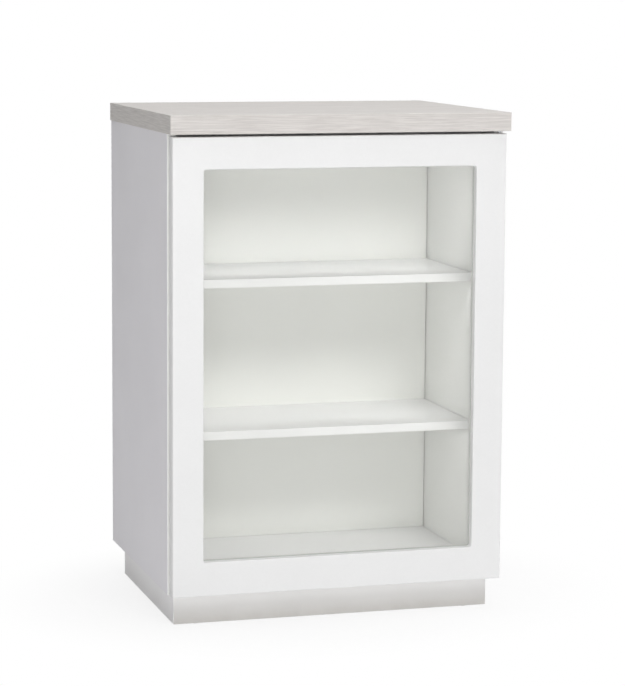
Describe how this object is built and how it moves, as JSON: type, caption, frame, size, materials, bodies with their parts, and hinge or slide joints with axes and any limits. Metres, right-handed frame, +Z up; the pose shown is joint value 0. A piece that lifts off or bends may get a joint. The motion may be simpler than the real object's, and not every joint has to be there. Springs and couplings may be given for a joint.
{
  "type": "glazed bookcase",
  "caption": "Free-standing glazed bookcase: board carcass on a recessed plinth, wood-grain slab top, loose shelves and one pivot-hung framed glass door with a push latch.",
  "frame": {"origin": "on the floor, under the middle of the slab's outline", "axes": "+Z up, -Y out of the front (the door faces -Y), +X to the right when facing the door"},
  "size_m": [0.6, 0.48, 0.874],
  "materials": {
    "laminate": "pale warm-grey wood-grain laminate, matt",
    "laminate_edge": "the same laminate as a thin edge band, matt",
    "white_board": "white melamine-faced board, fine satin texture",
    "plinth_board": "off-white melamine-faced board, satin",
    "door_lacquer": "white foil-wrapped or lacquered MDF, silk",
    "glass": "clear float glass with a slight green cast",
    "seal_rubber": "pale grey silicone seal",
    "white_plastic": "white moulded plastic",
    "steel": "zinc-plated steel",
    "brass": "turned brass bush"
  },
  "bodies": {
    "carcass": {"top_slab": "laminate", "slab_band_front": "laminate_edge", "slab_band_left": "laminate_edge", "slab_band_right": "laminate_edge", "side_panel_left": "white_board", "side_panel_right": "white_board", "bottom_panel": "white_board", "ceiling_panel": "white_board", "packer_front": "white_board", "packer_rear": "white_board", "rear_rail_upper": "white_board", "rear_rail_lower": "white_board", "back_panel": "white_board", "shelf_lower": "white_board", "shelf_upper": "white_board", "plinth_front": "plinth_board", "plinth_back": "plinth_board", "plinth_left": "plinth_board", "plinth_right": "plinth_board", "glide_front_left": "white_plastic", "glide_front_right": "white_plastic", "glide_rear_left": "white_plastic", "glide_rear_right": "white_plastic", "latch_housing": "white_plastic", "shelf_pin_lower_left_front": "steel", "shelf_pin_lower_left_rear": "steel", "shelf_pin_lower_right_front": "steel", "shelf_pin_lower_right_rear": "steel", "shelf_pin_upper_left_front": "steel", "shelf_pin_upper_left_rear": "steel", "shelf_pin_upper_right_front": "steel", "shelf_pin_upper_right_rear": "steel", "pivot_plate_upper": "steel", "pivot_plate_lower": "steel", "pivot_pin_upper": "steel", "pivot_pin_lower": "steel", "slab_screw_1": "steel", "slab_screw_2": "steel", "slab_screw_3": "steel", "slab_screw_4": "steel", "plate_screw_upper_1": "steel", "plate_screw_upper_2": "steel", "plate_screw_lower_1": "steel", "plate_screw_lower_2": "steel", "latch_screw_1": "steel", "latch_screw_2": "steel"},
    "door": {"door_frame": "door_lacquer", "door_glass": "glass", "glass_seal": "seal_rubber", "glazing_bead_top": "white_plastic", "glazing_bead_bottom": "white_plastic", "glazing_bead_left": "white_plastic", "glazing_bead_right": "white_plastic", "pivot_bush_lower": "brass", "pivot_bush_upper": "brass", "latch_strike": "steel"},
    "plunger": {"latch_plunger": "white_plastic"}
  },
  "joints": [
    {"name": "door_hinge", "type": "hinge", "parent": "carcass", "child": "door", "pos_m": [0.288, -0.214, 0.057], "axis": [0, 0, 1], "range_deg": [0, 100]},
    {"name": "latch_press", "type": "slide", "parent": "carcass", "child": "plunger", "axis": [0, 1, 0], "range_m": [0, 0.002], "stiffness_N_per_m": 300}
  ]
}
